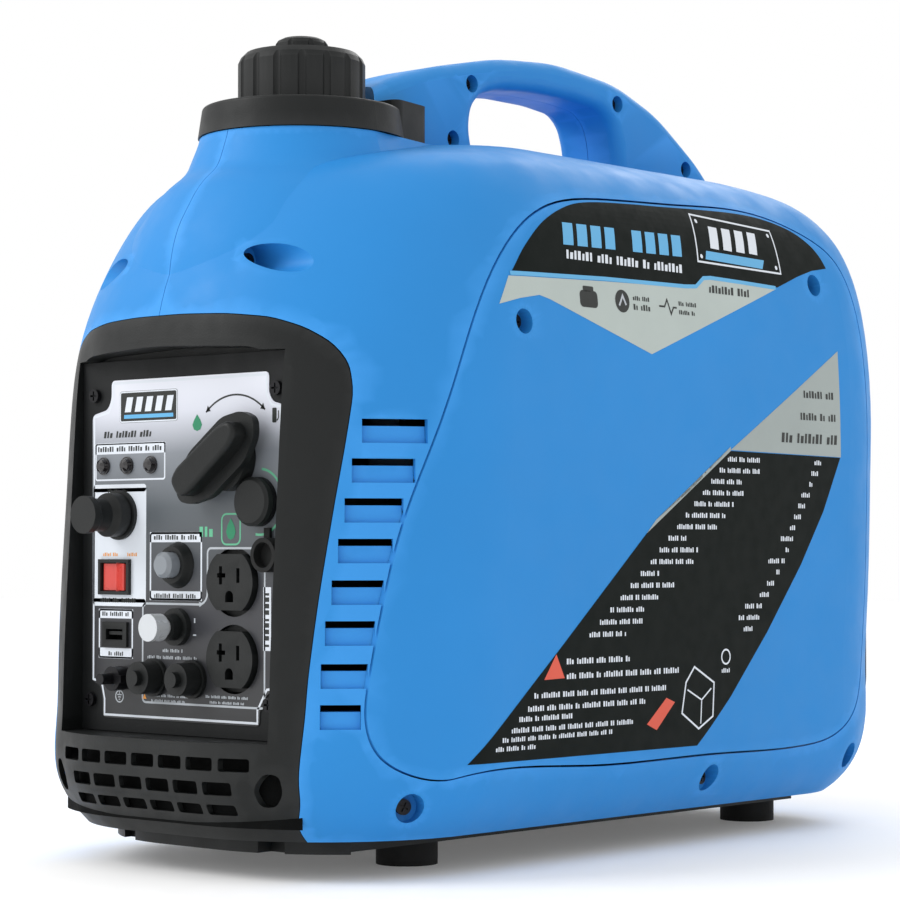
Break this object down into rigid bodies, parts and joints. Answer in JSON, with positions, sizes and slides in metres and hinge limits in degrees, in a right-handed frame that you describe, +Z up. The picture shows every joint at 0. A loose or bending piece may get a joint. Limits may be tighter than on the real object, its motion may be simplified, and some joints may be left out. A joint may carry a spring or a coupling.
{
  "type": "inverter generator",
  "caption": "Suitcase-style dual-fuel inverter generator with carrying handle, front control panel, side covers, recoil start and a small engine and alternator inside",
  "frame": {"origin": "centre of the footprint on the floor, under the middle of the bounding box", "axes": "+Z up, -Y towards the user at the control panel, +X to the user's right, so the machine is longest along Y"},
  "size_m": [0.2802, 0.5151, 0.4514],
  "materials": {
    "blue_plastic": "moulded, satin-gloss",
    "black_plastic": "moulded, fine texture",
    "black_rubber": "matte",
    "panel_sheet": "powder coat",
    "overlay_film": "printed film",
    "zinc_steel": "zinc plated",
    "cast_steel": "machined",
    "cast_aluminium": "as cast",
    "brass_fitting": "turned",
    "red_plastic": "translucent red",
    "grey_plastic": "clear grey",
    "lamp_lens": "dark lens",
    "filter_foam": "open foam"
  },
  "bodies": {
    "chassis": {"left_shell": "blue_plastic", "right_shell": "blue_plastic", "left_cover": "blue_plastic", "right_cover": "blue_plastic", "vent_louvres": "blue_plastic", "front_bezel": "black_plastic", "rear_cover": "black_plastic", "base_pan": "black_plastic", "cap_surround": "black_plastic", "choke_guide": "black_plastic", "duplex_outlet": "black_plastic", "usb_port": "black_plastic", "breaker_body": "black_plastic", "economy_button_ring": "black_plastic", "engine_switch_body": "black_plastic", "parallel_sockets": "black_plastic", "recoil_housing": "black_plastic", "fan_shroud": "black_plastic", "plug_cap": "black_plastic", "air_box": "black_plastic", "fuel_tank": "black_plastic", "rubber_feet": "black_rubber", "engine_mounts": "black_rubber", "lpg_dust_plug": "black_rubber", "control_panel": "panel_sheet", "panel_overlay": "overlay_film", "panel_screws": "zinc_steel", "case_screws": "zinc_steel", "ground_stud": "zinc_steel", "exhaust_outlet": "zinc_steel", "muffler": "zinc_steel", "spark_plug": "zinc_steel", "stator": "cast_steel", "inverter_module": "cast_aluminium", "engine_block": "cast_aluminium", "cylinder_head": "cast_aluminium", "carburettor": "cast_aluminium", "fuel_selector_valve": "cast_aluminium", "lpg_regulator": "cast_aluminium", "lpg_inlet": "brass_fitting", "indicator_lamps": "lamp_lens", "air_filter": "filter_foam"},
    "cap_carrier": {"fuel_cap_gasket": "black_rubber"},
    "fuel_cap": {"fuel_cap": "black_plastic"},
    "vent_knob": {"fuel_cap_vent_knob": "black_plastic"},
    "fuel_dial": {"fuel_dial": "black_plastic"},
    "choke_knob": {"choke_knob": "black_plastic"},
    "choke_plate": {"choke_plate": "zinc_steel"},
    "engine_switch": {"engine_switch_rocker": "red_plastic"},
    "economy_button": {"economy_button": "grey_plastic"},
    "breaker_button": {"breaker_button": "grey_plastic"},
    "ground_nut": {"ground_nut": "zinc_steel"},
    "lpg_cap": {"lpg_cap": "black_plastic"},
    "parallel_cap_left": {"parallel_cap_left": "black_plastic"},
    "parallel_cap_right": {"parallel_cap_right": "black_plastic"},
    "recoil_grip": {"recoil_grip": "black_plastic"},
    "recoil_pulley": {"recoil_pulley": "black_plastic"},
    "crank": {"crankshaft": "cast_steel", "rotor": "cast_steel", "cooling_fan": "black_plastic"}
  },
  "joints": [
    {"name": "cap_lift", "type": "slide", "parent": "chassis", "child": "cap_carrier", "axis": [0, 0, 1], "range_m": [0, 0.06]},
    {"name": "cap_turn", "type": "hinge", "parent": "cap_carrier", "child": "fuel_cap", "pos_m": [0, -0.144, 0.4215], "axis": [0, 0, 1], "range_deg": [0, 180]},
    {"name": "vent_turn", "type": "hinge", "parent": "fuel_cap", "child": "vent_knob", "pos_m": [0, -0.144, 0.437], "axis": [0, 0, 1], "range_deg": [0, 90]},
    {"name": "fuel_dial_turn", "type": "hinge", "parent": "chassis", "child": "fuel_dial", "pos_m": [0.0385, -0.231, 0.211], "axis": [0, -1, 0], "range_deg": [0, 95]},
    {"name": "choke_pull", "type": "slide", "parent": "chassis", "child": "choke_knob", "axis": [0, -1, 0], "range_m": [0, 0.015]},
    {"name": "choke_plate_turn", "type": "hinge", "parent": "chassis", "child": "choke_plate", "pos_m": [-0.072, 0.012, 0.227], "axis": [0, 0, 1], "range_deg": [0, 76]},
    {"name": "engine_switch_rock", "type": "hinge", "parent": "chassis", "child": "engine_switch", "pos_m": [-0.05, -0.2295, 0.1503], "axis": [0, 0, 1], "range_deg": [0, 14]},
    {"name": "economy_press", "type": "slide", "parent": "chassis", "child": "economy_button", "axis": [0, 1, 0], "range_m": [0, 0.003], "stiffness_N_per_m": 400},
    {"name": "breaker_press", "type": "slide", "parent": "chassis", "child": "breaker_button", "axis": [0, 1, 0], "range_m": [0, 0.003], "stiffness_N_per_m": 500},
    {"name": "ground_nut_turn", "type": "hinge", "parent": "chassis", "child": "ground_nut", "pos_m": [-0.0425, -0.2375, 0.0975], "axis": [0, -1, 0], "continuous": true},
    {"name": "lpg_cap_pull", "type": "slide", "parent": "chassis", "child": "lpg_cap", "axis": [0, -1, 0], "range_m": [0, 0.03]},
    {"name": "parallel_cap_left_pull", "type": "slide", "parent": "chassis", "child": "parallel_cap_left", "axis": [0, -1, 0], "range_m": [0, 0.03]},
    {"name": "parallel_cap_right_pull", "type": "slide", "parent": "chassis", "child": "parallel_cap_right", "axis": [0, -1, 0], "range_m": [0, 0.03]},
    {"name": "recoil_pull", "type": "slide", "parent": "chassis", "child": "recoil_grip", "axis": [-1, 0, 0], "range_m": [0, 0.5], "stiffness_N_per_m": 30},
    {"name": "recoil_pulley_spin", "type": "hinge", "parent": "chassis", "child": "recoil_pulley", "pos_m": [0, -0.136, 0.115], "axis": [0, -1, 0], "range_deg": [0, 960]},
    {"name": "crank_spin", "type": "hinge", "parent": "chassis", "child": "crank", "pos_m": [0, -0.036, 0.115], "axis": [0, -1, 0], "continuous": true}
  ],
  "couplings": [
    {"joint": "choke_plate_turn", "follows": "choke_pull", "rad_per_m": 86.7},
    {"joint": "recoil_pulley_spin", "follows": "recoil_pull", "rad_per_m": 33.333}
  ]
}
